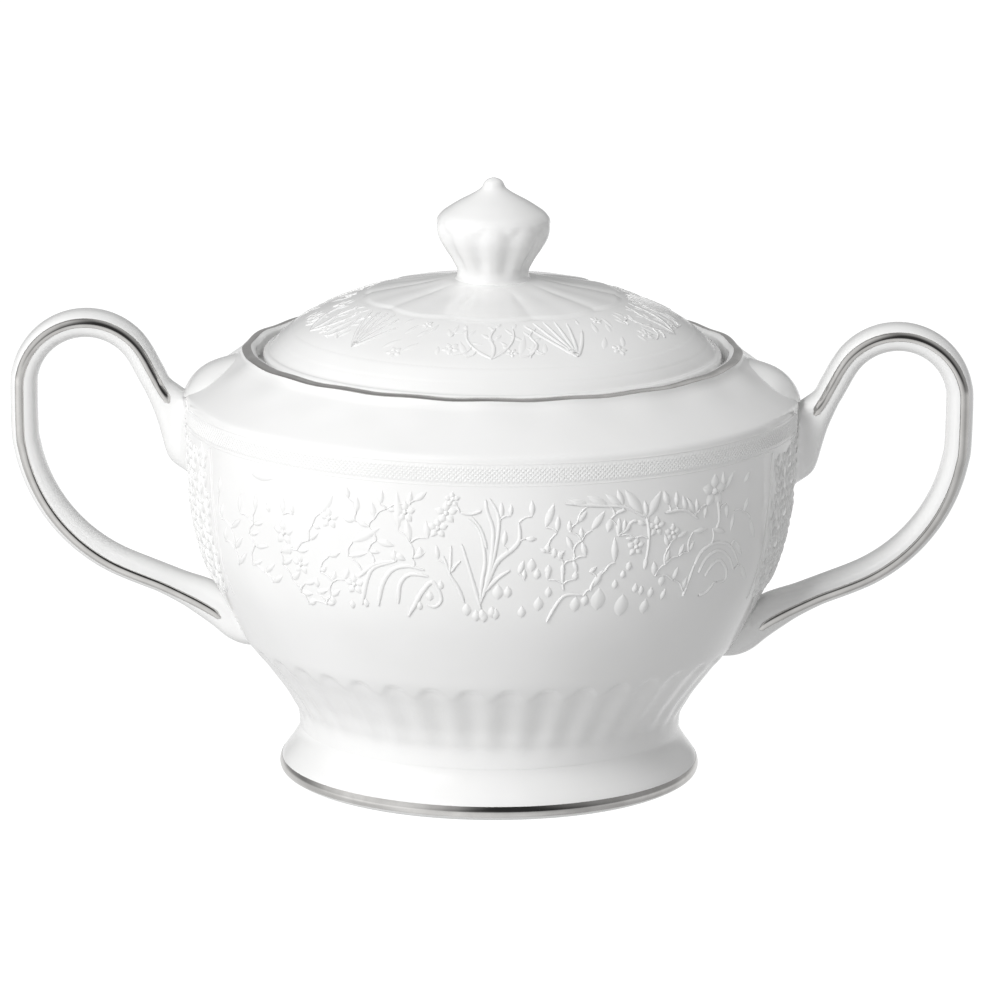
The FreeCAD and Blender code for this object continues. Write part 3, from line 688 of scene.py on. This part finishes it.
# Each row is a leaf's foot, its tip and its width.
LEAVES = [
    (2, 63.1, 2, 66.3, 1.6), (3.7, 63.5, 3.8, 65.9, 1.3), (7.7, 63.4, 7.6, 66.6, 1.8),
    (2.5, 57.7, 2.8, 60.9, 1.7), (10.2, 61.2, 11.8, 65.9, 2.4), (12.4, 60.2, 12.6, 63.6, 1.7),
    (14.8, 60.1, 14.7, 62.5, 1.6), (16.2, 61.9, 18.1, 64.1, 2), (17.2, 58.4, 17, 61.1, 1.6),
    (15.6, 56.5, 14.2, 59.5, 1.7), (18.2, 55.2, 17.2, 58.4, 1.8), (19, 60.2, 21.6, 63.9, 2.3),
    (18.4, 65.1, 14.2, 66.4, 1.9), (22.3, 64.7, 17.8, 67, 2.2), (25.1, 64.4, 21.5, 67.1, 2.2),
    (25.3, 64.6, 23.9, 67.8, 2), (29.4, 62.4, 25.4, 67.7, 3), (30.4, 62.1, 29.6, 65.2, 1.6),
    (30.6, 61.7, 33.3, 66.7, 3), (22.8, 62.2, 22.3, 59.6, 2.4), (25.5, 59.3, 25.7, 62, 1.5),
    (24.1, 53.6, 23.7, 58.7, 2.1), (24.4, 58.7, 24.5, 62.4, 1.8), (26.9, 61.1, 25.5, 59.1, 1.8),
    (28.1, 61.3, 30.3, 60.3, 1.6), (30.8, 54.1, 30.6, 51.4, 1.6), (27.9, 58, 25.8, 58.1, 1.4),
    (35, 63.6, 33.8, 66.6, 2.2), (36.9, 63, 36.7, 66.1, 1.6), (39.2, 62, 38.2, 65.1, 1.8),
    (41.3, 61.3, 39.1, 64.7, 1.6), (42, 61.2, 41.6, 63.9, 1.5), (5.4, 52.2, 6.3, 55, 1.8),
    (6.5, 51, 6.4, 53.4, 1.4), (10.9, 50.9, 11.1, 54, 1.8), (14, 51.5, 13.5, 54, 1.4),
    (19.8, 48.8, 21.8, 52.4, 2.2), (16, 50.7, 16.7, 52.2, 1.6), (12.6, 55.5, 14.1, 56.6, 1.4),
    (10.7, 56.4, 9.2, 57.2, 1.4), (6.5, 59.1, 8.7, 59.1, 1.6), (19, 52, 20.5, 53.1, 1.4),
    (15.7, 54.6, 16.7, 52.2, 1.4), (44.2, 62.4, 43.9, 59.8, 1.6), (49.8, 61.9, 50.3, 58.7, 1.8),
    (52.3, 59.9, 51.8, 55.8, 1.7), (49, 64.3, 51.8, 67.7, 1.8), (48.7, 64.7, 48.5, 68.2, 1.8),
    (33.1, 49.9, 32.5, 53.1, 2.2), (35.1, 52, 35.9, 55.1, 2), (37.6, 48.5, 38.5, 51.2, 1.8),
    (40.5, 46.1, 41, 48.8, 2), (35.5, 44.8, 36.1, 47.1, 1.8), (35.6, 55.4, 34.4, 58, 1.6),
    (38.3, 53.2, 39.4, 55.8, 1.6), (40.6, 53.7, 41.8, 55.8, 1.6), (37.3, 56.9, 40, 58, 1.6),
    (41.1, 57.5, 45.2, 57.6, 1.6), (46.3, 57.5, 50.5, 56, 1.6), (53.4, 53.9, 57.2, 50, 1.6),
    (57, 48.4, 61.3, 44.5, 1.6), (55.6, 59, 56.7, 61.8, 1.8), (58, 57.3, 60.8, 52.9, 1.8),
    (55.1, 64.8, 56.9, 66.8, 1.8), (-17.3, 60, -17.5, 67.6, 2.6),
    (-15.1, 57.9, -15.8, 62.4, 2.4), (-15.2, 65.1, -14.8, 67.8, 1.8),
    (-14.2, 65.9, -11.8, 67.8, 2), (-19.6, 64, -17.3, 63.9, 1.6), (-22, 61.9, -22.5, 65.1, 2),
    (-20.8, 64.7, -20.4, 67.6, 1.8), (-11.6, 58.9, -12, 62.3, 2),
    (-9.8, 54.7, -10.1, 57.8, 1.6), (-26.6, 56.9, -20.8, 60.3, 2.8),
    (-21.7, 57.7, -18, 56.9, 2.2), (-26, 61.1, -28.5, 61.3, 1.8), (-25.6, 62.7, -25.5, 65.8, 2),
    (-33.1, 61.8, -30.4, 65.8, 2.4), (-27.2, 65.2, -27.6, 67.4, 1.6),
    (-23.2, 60.2, -25.7, 61.2, 1.6), (-27.7, 54, -23.4, 55.2, 1.8),
    (-23.4, 55.6, -21, 55.4, 1.6), (-18.3, 55.3, -16, 54.3, 2.2),
    (-14.7, 54.8, -12.1, 56.2, 1.8), (-31.7, 48.4, -30.8, 50.8, 1.8),
    (-29, 49.1, -27.8, 51.6, 1.8), (-32, 53.4, -29.3, 54.6, 2), (-35.2, 59.2, -33.4, 58.7, 1.6),
    (-36.3, 56, -33.9, 57.9, 1.6), (-42.3, 60.1, -42.2, 63.6, 2),
    (-39.8, 60.5, -40.2, 63.1, 1.8), (-50, 59.5, -49.5, 63.1, 2), (-46, 59.8, -46.5, 61.7, 1.8),
    (-50.8, 66.5, -44.4, 66.6, 2.6), (-50.9, 56.7, -47.9, 57.6, 1.6),
    (-52.6, 54.4, -49.4, 55.4, 1.6), (-43.7, 52.5, -40.4, 54.2, 2.6),
    (-39.5, 53.5, -36.6, 54, 1.8), (-43.6, 50.1, -40.7, 51.8, 1.8),
    (-49.3, 47.5, -45.8, 49.8, 1.8), (-47.3, 45.9, -44.1, 47.7, 2),
    (-41.5, 47.3, -39.1, 49.7, 2), (-38.5, 47, -35.4, 48.2, 1.8), (-39.9, 45.1, -36.9, 45.2, 2),
    (-34.3, 50, -32.7, 51.4, 1.8), (-35.9, 45.7, -32.9, 46.6, 1.8), (-38.5, 43, -36.2, 44.1, 2),
    (-32.6, 45.4, -30.1, 47, 1.8), (-33.9, 43.6, -31.5, 44.4, 1.8),
    (-52.8, 48.4, -49.3, 49.9, 1.6), (-55.1, 58.2, -54.4, 62.2, 1.8),
    (-58.8, 54.4, -54.7, 57.1, 1.8), (-58.3, 50.5, -54.8, 53.6, 1.8),
    (-57.9, 47.4, -54.1, 50.6, 1.8), (-51.2, 52.3, -46.9, 53.1, 1.6),
    (-7.1, 65.9, -6.8, 67.4, 1.4), (-62.3, 60.6, -61.6, 63.9, 1.8),
    (-62.4, 55.6, -61.1, 59, 1.8), (-62.1, 51.3, -60.8, 54.4, 1.8),
]
# Each row is a middle and a radius, here and for the flowers.
BERRIES = [
    (1.5, 48.7, 1.3), (3.4, 48.7, 1), (6.2, 44.6, 1), (7.8, 54, 1.1), (8.9, 52.2, 0.9),
    (11, 52.9, 0.9), (16.7, 45.8, 1.3), (18.6, 46.5, 1), (21.3, 46.5, 1.9), (26.5, 44.8, 1.9),
    (31.8, 44, 1.3), (24.5, 49.2, 0.8), (29, 48, 0.8), (30.4, 47.4, 0.8), (26, 51.1, 0.7),
    (27.1, 52.6, 0.8), (16.3, 51.5, 0.8), (9.4, 46.2, 1.2), (10.7, 57.2, 0.8), (12, 56.2, 0.8),
    (13.1, 55.7, 0.8), (32.7, 46.7, 0.9), (11.2, 48.5, 0.9), (34.9, 48.9, 1), (-1.5, 44, 1),
    (0.4, 44.6, 1), (-4.5, 45, 1.1), (-2.7, 43.8, 1), (-1.2, 43.6, 1), (1.1, 44.2, 1),
    (-9.4, 49.8, 0.8), (-11.6, 47.5, 0.9), (-13.7, 45.4, 0.8), (-24.8, 45, 0.8),
    (-13.2, 56.1, 0.9), (-18.3, 55.1, 0.9), (-41.5, 53.6, 1), (-35.5, 47.8, 0.9),
    (-32.3, 44.7, 0.9), (-27.9, 44.4, 0.8),
]
FLOWERS = [
    (46.3, 64.7, 3.4), (28.3, 56.3, 2), (32.5, 59.7, 2.1), (36.2, 58.1, 1.9), (-8.2, 63.9, 2.3),
    (-9.8, 60.9, 2.1), (-7.1, 66.5, 1.6), (-16, 63.6, 2.2), (-31.5, 60.9, 2.2),
    (-38.9, 50.9, 2.2), (-42.6, 56.5, 2.6), (-26.9, 48.5, 2.2),
]
LEAF_RISE = 0.38
LEAF_SLIM = 0.74
STEM_RISE = 0.30
STEM_SIDES = 4
TWIG_HALF = 0.24
TWIG_REACH = 5.2
FLOWER_PETALS = 5
PETAL_TIP_RISE = 0.36
BERRY_RISE = 0.42
SMOOTH_RELIEF = 75
# The feet of the relief are sunk this far into the porcelain.
SINK = 0.06


def model_leaf():
    """One leaf, a unit long along X and a unit wide, plump, with a creased midrib."""
    clear_selection()
    bpy.ops.mesh.primitive_grid_add(x_subdivisions=8, y_subdivisions=4, size=2)
    leaf = bpy.context.object
    for vertex in leaf.data.vertices:
        along, across = (vertex.co.x + 1) / 2, vertex.co.y
        outline_half = 0.5 * math.sin(math.pi * along ** 0.85) ** 0.9
        crown = (1 - across * across) ** 1.2 - 0.16 * math.exp(-(across / 0.25) ** 2)
        height = crown * (0.2 + 0.8 * math.sin(math.pi * along))
        vertex.co = (along, outline_half * across, height)
    return leaf


def model_berry():
    """One berry or bud: the top of a ball, flattened."""
    clear_selection()
    bpy.ops.mesh.primitive_uv_sphere_add(segments=10, ring_count=8, radius=1)
    berry = bpy.context.object
    bpy.ops.object.mode_set(mode="EDIT")
    bpy.ops.mesh.select_all(action="SELECT")
    bpy.ops.mesh.bisect(plane_co=(0, 0, -0.05), plane_no=(0, 0, 1), clear_inner=True)
    bpy.ops.object.mode_set(mode="OBJECT")
    return berry


def set_down(source, place):
    """A copy of a modelled shape, with its own mesh, moved to its place in the flat layout."""
    copy = source.copy()
    copy.data = source.data.copy()
    copy.data.transform(place)
    bpy.context.scene.collection.objects.link(copy)
    return copy


def leaf_at(start, end, width, rise=LEAF_RISE):
    """A copy of the leaf from its foot to its tip."""
    run = Vector(end) - Vector(start)
    lean = math.atan2(run.y, run.x)
    place = Matrix.Translation((start[0], start[1], -SINK)) @ Matrix.Rotation(lean, 4, "Z")
    return set_down(LEAF, place @ Matrix.Diagonal((run.length, LEAF_SLIM * width, rise + SINK, 1)))


def berry_at(spot, radius):
    place = Matrix.Translation((spot[0], spot[1], -SINK))
    return set_down(BERRY, place @ Matrix.Diagonal((radius, radius, BERRY_RISE + SINK, 1)))


def drop_at(spot, radius):
    """A hanging fruit, fuller at its foot than at its tip."""
    reach = 1.25 * radius
    return leaf_at((spot[0], spot[1] - reach), (spot[0], spot[1] + reach), 2 * reach)


def flower_at(spot, radius):
    """Petals round a small berry."""
    parts = []
    for petal in range(FLOWER_PETALS):
        lean = TAU * (petal + 0.25) / FLOWER_PETALS
        tip = (spot[0] + radius * math.cos(lean), spot[1] + radius * math.sin(lean))
        heart = 0.12 * radius
        start = (spot[0] + heart * math.cos(lean), spot[1] + heart * math.sin(lean))
        parts.append(leaf_at(start, tip, 0.95 * radius, PETAL_TIP_RISE))
    parts.append(berry_at(spot, 0.22 * radius))
    return parts


def stem_along(points, half):
    """A rounded stem through flat points, thick at its foot and fine at its tip."""
    path = path_through(points, 5)
    count = len(path) - 1

    def place(u, v):
        here = round(u * count)
        ahead, behind = path[min(here + 1, count)], path[max(here - 1, 0)]
        normal = Vector((behind.y - ahead.y, ahead.x - behind.x)).normalized()
        taper = half * (1 - 0.45 * u) * min(1.0, 0.35 + 4 * u, 0.35 + 6 * (1 - u))
        swing = math.pi * v
        spot = path[here] + normal * taper * math.cos(swing)
        rise = min(STEM_RISE, 0.8 * half + 0.06) * math.sin(swing) * (1 - 0.3 * u)
        return spot.x, spot.y, rise - SINK * (1 - math.sin(swing))

    piece = wrapped(count, STEM_SIDES, place)
    for vertex in piece.data.vertices:
        vertex.co /= MM  # the flat layout stays in millimetres until it is wrapped on
    return piece


def twigs_between(leaves, stems):
    """Fine twigs that join each leaf's foot to the nearest foot or stem lower down."""
    feet = [Vector(leaf[:2]) for leaf in leaves]
    anchors = feet + [spot for stem in stems for spot in path_through(stem[1], 3)]
    twigs = []
    for foot in feet:
        below = [spot for spot in anchors
                 if spot.y < foot.y - 0.4 and (spot - foot).length < TWIG_REACH]
        if below:
            anchor = min(below, key=lambda spot: (spot - foot).length)
            run = foot - anchor
            bend = (anchor + foot) / 2 + Vector((-run.y, run.x)) * math.copysign(0.14, run.x)
            twigs.append(stem_along([anchor, bend, foot], TWIG_HALF))
    return twigs


def joined(parts, name):
    """Join parts into the first of them."""
    clear_selection()
    for part in parts:
        part.select_set(True)
    bpy.context.view_layer.objects.active = parts[0]
    bpy.ops.object.join()
    parts[0].name = name
    return parts[0]


def on_bowl(round_mm, up_mm, rise, turn):
    """A point of the bowl's surface, lifted off it by rise, turned from the front."""
    slope = belly_radius(up_mm + 0.5) - belly_radius(up_mm - 0.5)
    lean = math.sqrt(1 + slope * slope)
    radius = belly_radius(up_mm) + rise / lean
    around = round_mm / FRIEZE_R - FRONT + turn
    return radius * math.cos(around), radius * math.sin(around), up_mm - rise * slope / lean


def on_lid(round_mm, out_mm, rise, turn):
    """The same on the lid, with the distance from its middle in place of the height."""
    slope = lid_height(out_mm + 0.5) - lid_height(out_mm - 0.5)
    lean = math.sqrt(1 + slope * slope)
    radius = out_mm - rise * slope / lean
    around = round_mm / LID_FRIEZE_R - FRONT + turn
    return radius * math.cos(around), radius * math.sin(around), lid_height(out_mm) + rise / lean


def wrap_on(piece, surface, turn):
    """Wrap a flat layout on to a surface, its middle turned from the front."""
    for vertex in piece.data.vertices:
        vertex.co = Vector(surface(*vertex.co, turn)) * MM
    piece.data.update()


def repeat_round(piece, turns):
    """Copies of a wrapped piece turned about the axis and joined to it."""
    copies = [piece]
    for turn in turns:
        copies.append(set_down(piece, Matrix.Rotation(turn, 4, "Z")))
    return joined(copies, piece.name)


PIT_RISE = 0.015


def lattice(surface, start, end, low, high, cell, rise):
    """A net of crossed ribs with a diamond pit in each mesh."""
    columns = 2 * round((end - start) / cell)
    rows = 2 * round((high - low) / cell)

    def place(u, v):
        column, row = round(u * columns), round(v * rows)
        edge = row in (0, rows) or column in (0, columns)
        up = rise if (column + row) % 2 == 0 else PIT_RISE
        return surface(start + (end - start) * u, low + (high - low) * v, -SINK if edge else up, 0)

    piece = wrapped(columns, rows, place)
    clear_selection()
    piece.select_set(True)
    bpy.context.view_layer.objects.active = piece
    bpy.ops.object.mode_set(mode="EDIT")
    bpy.ops.mesh.select_all(action="SELECT")
    bpy.ops.mesh.quads_convert_to_tris(quad_method="LONGEST_DIAGONAL")
    bpy.ops.object.mode_set(mode="OBJECT")
    return piece


def bead_line(surface, start, end, at, half, rise):
    """A fine rounded line round a surface."""
    def place(u, v):
        swing = math.pi * v
        return surface(start + (end - start) * u, at + half * math.cos(swing),
                       rise * math.sin(swing) - SINK * (1 - math.sin(swing)), 0)

    return wrapped(240, 6, place)


LEAF = model_leaf()
BERRY = model_berry()

# The frieze round the front, and the same on the back.
sprays = [leaf_at(spot[:2], spot[2:4], spot[4]) for spot in LEAVES]
sprays += [drop_at(spot[:2], spot[2]) for spot in BERRIES]
for spot in FLOWERS:
    sprays += flower_at(spot[:2], spot[2])
sprays += [stem_along(points, half) for half, points in STEMS]
sprays += twigs_between(LEAVES, STEMS)
frieze = joined(sprays, "frieze_sprays")
wrap_on(frieze, on_bowl, 0)
frieze = repeat_round(frieze, [math.pi])
finish_piece(frieze, "frieze_sprays", "bowl", PORCELAIN, (), SMOOTH_RELIEF)


# The panels of close-set leafy stems under the handles. The stems in the middle stop below
# the handle's upper root.
LEAF_GAP = 1.9
CLIMBER_LEAVES = ((1.6, 2.6), (-1.1, 1.9))
TALL_STEMS = (-23.0, -20.2, -17.0, -13.6, -10.2, 10.2, 13.6, 17.0, 20.2, 23.0)
SHORT_STEMS = (-6.8, -3.4, 0, 3.4, 6.8)
PANEL_EDGE = 26.3
PANEL_TOP_Z = 68.6


def climbing_stem(at, low, high, first_side):
    """A wavy upright stem with close-set leaves on both sides."""
    parts = []
    count = round((high - low) / LEAF_GAP)
    points = [(at + 0.7 * math.sin(1.1 * step + at), low + (high - low) * step / count)
              for step in range(count + 1)]
    parts.append(stem_along(points, 0.36))
    for step, (across, up) in enumerate(points[:-1]):
        hand = first_side if step % 2 else -first_side
        length = 1.0 + 0.3 * math.sin(2.3 * step + 1.7 * at)
        for reach, rise in CLIMBER_LEAVES:
            tip = (across + hand * reach * length, up + rise * length)
            parts.append(leaf_at((across, up), tip, 1.1, 0.5))
    return parts


sprays = []
for count, at in enumerate(TALL_STEMS):
    sprays += climbing_stem(at, 39.5, 67.5, 1 if count % 2 else -1)
for count, at in enumerate(SHORT_STEMS):
    sprays += climbing_stem(at, 40.5, 55.5 - 0.3 * abs(at), 1 if count % 2 else -1)
for at in (-PANEL_EDGE, PANEL_EDGE):
    edge = [(at, PANEL_TOP_Z - 2.4 * step) for step in range(13)]
    sprays.append(stem_along(edge, 0.4))
thicket = joined(sprays, "handle_sprays")
wrap_on(thicket, on_bowl, math.pi / 2)
thicket = repeat_round(thicket, [math.pi])
finish_piece(thicket, "handle_sprays", "bowl", PORCELAIN, (), SMOOTH_RELIEF)

# The net above the frieze, between two fine lines.
FRIEZE_END = FRIEZE_R * math.radians(82)
NET_LOW_Z, NET_HIGH_Z = 69.5, 73.1
NET_CELL = 0.88
NET_RISE = 0.14
bands = [lattice(on_bowl, -FRIEZE_END, FRIEZE_END, NET_LOW_Z, NET_HIGH_Z, NET_CELL, NET_RISE)]
for height in (69.2, 73.35):
    bands.append(bead_line(on_bowl, -FRIEZE_END, FRIEZE_END, height, 0.2, 0.06))
net = joined(bands, "frieze_net")
face_outward(net)
net = repeat_round(net, [math.pi])
finish_piece(net, "frieze_net", "bowl", PORCELAIN, (), 25)

# Ten sprays round the lid in five pairs: a branching spray, then a fan of blades. They are
# laid out flat in millimetres round and out from the lid's middle.
LID_FRIEZE_R = 32.0
LID_RISE = 0.17
LID_GROUPS = 5
LID_STEMS = [
    (0.42, [(0, 36.4), (0.3, 33.5), (-0.4, 30.5), (0.6, 27.5)]),
    (0.38, [(0, 36.4), (2.6, 33.8), (4.2, 30.6), (4.4, 27.6)]),
    (0.38, [(0, 36.4), (-2.8, 34.2), (-4.8, 31.4), (-5.4, 28.4)]),
    (0.34, [(6.5, 35.8), (8.2, 33.0), (7.6, 30.0), (9.4, 28.0)]),
]
LID_LEAVES = [
    (4.6, 35.9, 6.6, 29.6, 2.2), (6.4, 36.2, 8.4, 31.2, 1.9), (-4.2, 36.2, -6.2, 31.6, 1.9),
    (-6.6, 35.9, -8.6, 32.2, 1.7), (0.6, 27.5, 2.2, 25.9, 1.5), (0.6, 28.4, -1.2, 26.6, 1.4),
    (0.2, 31.5, 2.0, 29.4, 1.5), (-0.2, 31.0, -2.4, 29.2, 1.5), (4.4, 27.8, 5.6, 25.9, 1.5),
    (4.2, 29.6, 2.6, 27.4, 1.3), (-5.4, 28.4, -6.4, 26.2, 1.6), (-5.0, 30.4, -3.4, 27.8, 1.4),
    (-4.0, 32.2, -1.8, 32.6, 1.3), (2.9, 33.4, 1.4, 31.4, 1.3), (8.0, 31.8, 9.8, 30.6, 1.4),
    (7.8, 30.6, 6.4, 28.4, 1.4), (-8.2, 30.6, -9.6, 28.0, 1.8), (-8.0, 29.4, -7.6, 26.4, 1.5),
    (9.0, 35.4, 10.0, 32.6, 1.6), (-9.4, 36.0, -9.8, 33.4, 1.5),
]
FAN_AT = 14.5
FAN_FOOT_R = 36.6
# Each row is how far a blade leans and where its tip is.
FAN_BLADES = [(-9.2, 26.6), (-6.2, 25.9), (-3.0, 25.7), (0.4, 25.8), (3.6, 27.0), (6.0, 29.6)]
FAN_LEAVES = [
    (5.6, 35.6, 8.4, 32.4, 1.8), (7.6, 31.2, 9.2, 27.6, 2.0), (-5.4, 35.8, -8.6, 33.4, 1.7),
    (-8.4, 31.8, -11.0, 29.6, 1.7), (9.8, 35.8, 12.2, 33.0, 1.7), (10.6, 31.6, 12.4, 28.6, 1.8),
    (5.4, 28.0, 6.2, 25.8, 1.4), (-11.4, 35.2, -12.6, 32.0, 1.6), (12.6, 30.4, 13.6, 26.6, 1.6),
]
sprays = [leaf_at(spot[:2], spot[2:4], spot[4], LID_RISE) for spot in LID_LEAVES]
sprays += [stem_along(points, half) for half, points in LID_STEMS]
sprays += flower_at((-7.4, 34.0), 1.7)
for across, reach in FAN_BLADES:
    middle = (FAN_AT + 0.35 * across, 0.5 * (36.4 + reach) + 0.8)
    tip = (FAN_AT + 0.8 * across, reach)
    sprays.append(stem_along([(FAN_AT, FAN_FOOT_R), middle, tip], 0.5))
for foot_x, foot_y, tip_x, tip_y, width in FAN_LEAVES:
    sprays.append(leaf_at((FAN_AT + foot_x, foot_y), (FAN_AT + tip_x, tip_y), width, LID_RISE))
sprays += flower_at((FAN_AT + 8.6, 36.2), 1.5)
sprays += flower_at((FAN_AT + 11.0, 27.4), 1.3)
sprays += flower_at((3.4, 34.8), 1.2)
sprays += twigs_between(LID_LEAVES, LID_STEMS)
lid_spray = joined(sprays, "lid_sprays")
for vertex in lid_spray.data.vertices:
    vertex.co.z = min(vertex.co.z, LID_RISE)
wrap_on(lid_spray, on_lid, 0)
lid_spray = repeat_round(lid_spray, [TAU * k / LID_GROUPS for k in range(1, LID_GROUPS)])
finish_piece(lid_spray, "lid_sprays", "lid", PORCELAIN, (), SMOOTH_RELIEF)

# The net round the lid's edge.
LID_NET_HALF = LID_FRIEZE_R * math.pi
LID_NET_IN_R, LID_NET_OUT_R = 38.3, 41.4
LID_NET_CELL = 0.8
LID_NET_RISE = 0.07
lid_net = lattice(on_lid, -LID_NET_HALF, LID_NET_HALF, LID_NET_IN_R, LID_NET_OUT_R,
                  LID_NET_CELL, LID_NET_RISE)
finish_piece(lid_net, "lid_net", "lid", PORCELAIN, (), 25)

for source in (LEAF, BERRY):
    bpy.data.objects.remove(source)

# ---- studio -----------------------------------------------------------------------------
AIM = (0, 0, 0.05)
KEY_POWER = 25
KEY_SIZE = (0.9, 0.9)
KEY_PLACE = (-0.95, -1.35, 1.12)
FILL_POWER = 5
FILL_SIZE = (1.2, 1.2)
FILL_PLACE = (0.9, -1.2, 1.3)


def make_floor():
    """A white floor that only the camera sees, so it throws no light back on the bowl."""
    clear_selection()
    bpy.ops.mesh.primitive_plane_add(size=8, location=(0, 0, 0))
    floor = bpy.context.object
    floor.name = "floor"
    finish, shader = new_finish("studio_white")
    shader.inputs["Base Color"].default_value = grey(0.12)
    shader.inputs["Roughness"].default_value = 0.9
    shader.inputs["Specular IOR Level"].default_value = 0.0
    shader.inputs["Emission Color"].default_value = grey(1)
    shader.inputs["Emission Strength"].default_value = 1.0
    floor.data.materials.append(finish)
    floor.visible_diffuse = False
    floor.visible_glossy = False


def soft_light(name, power, size, place):
    """A square diffuser turned towards the bowl, not seen in its reflections."""
    clear_selection()
    bpy.ops.object.light_add(type="AREA", location=place)
    light = bpy.context.object
    light.name = name
    light.data.shape = "RECTANGLE"
    light.data.size, light.data.size_y = size
    light.data.energy = power
    towards = Vector(AIM) - Vector(place)
    light.rotation_euler = towards.to_track_quat("-Z", "Y").to_euler()
    light.visible_glossy = False


make_floor()
soft_light("key_left", KEY_POWER, KEY_SIZE, KEY_PLACE)
soft_light("fill_right", FILL_POWER, FILL_SIZE, FILL_PLACE)

world = bpy.data.worlds.new("studio")
bpy.context.scene.world = world
world.use_nodes = True
sky_nodes, sky_links = world.node_tree.nodes, world.node_tree.links
sky_direction = sky_nodes.new("ShaderNodeTexCoord")


def sky_glow(towards, start, full, strength):
    """A soft-edged bright part of the studio's sky, as a big diffuser gives."""
    facing = sky_nodes.new("ShaderNodeVectorMath")
    facing.operation = "DOT_PRODUCT"
    facing.inputs[1].default_value = Vector(towards).normalized()
    sky_links.new(sky_direction.outputs["Generated"], facing.inputs[0])
    glow = sky_nodes.new("ShaderNodeMapRange")
    glow.interpolation_type = "SMOOTHSTEP"
    glow.inputs["From Min"].default_value = start
    glow.inputs["From Max"].default_value = full
    glow.inputs["To Max"].default_value = strength
    sky_links.new(facing.outputs["Value"], glow.inputs["Value"])
    return glow.outputs["Result"]


def added(first, second):
    total = sky_nodes.new("ShaderNodeMath")
    sky_links.new(first, total.inputs[0])
    sky_links.new(second, total.inputs[1])
    return total.outputs["Value"]


# Each row is a direction, the cosines where its glow starts and where it is full, and how
# bright it is there.
STUDIO_GLOWS = [
    ((0.0, 0.0, 1.0), -1.0, -0.99, 0.04),
    ((0.0, 0.0, -1.0), -0.04, 0.15, 0.46),
    ((-0.9, -0.2, -0.4), 0.0, 0.95, 0.26),
    ((-0.1, -0.75, -0.65), 0.6, 0.97, 0.26),
    ((-0.80, -0.35, 0.48), 0.5, 0.98, 0.65),
    ((0.0, 0.2, 1.0), 0.45, 1.0, 0.22),
    ((0.8, 0.2, 0.5), 0.35, 0.95, 0.30),
    ((0.0, 1.0, 0.12), 0.4, 0.95, 0.32),
]
sky = sky_nodes["Background"]
sky.inputs["Color"].default_value = grey(1)
total = sky_glow(*STUDIO_GLOWS[0])
for glow in STUDIO_GLOWS[1:]:
    total = added(total, sky_glow(*glow))
sky_links.new(total, sky.inputs["Strength"])

# The camera looks down a little from the front.
CAMERA_PLACE = (0.001706, -1.4, 0.3711)
PITCH, ROLL = 0.22325, 0.00842
SENSOR_WIDTH, LENS = 36, 268.1
clear_selection()
turn = Matrix.Rotation(math.pi / 2 - PITCH, 3, "X") @ Matrix.Rotation(ROLL, 3, "Z")
bpy.ops.object.camera_add(location=CAMERA_PLACE, rotation=turn.to_euler())
camera = bpy.context.object
camera.name = "camera"
camera.data.sensor_width = SENSOR_WIDTH
camera.data.lens = LENS
camera.data.clip_start = 0.05
bpy.context.scene.camera = camera
bpy.context.scene.view_settings.view_transform = "Standard"

bpy.context.view_layer.update()
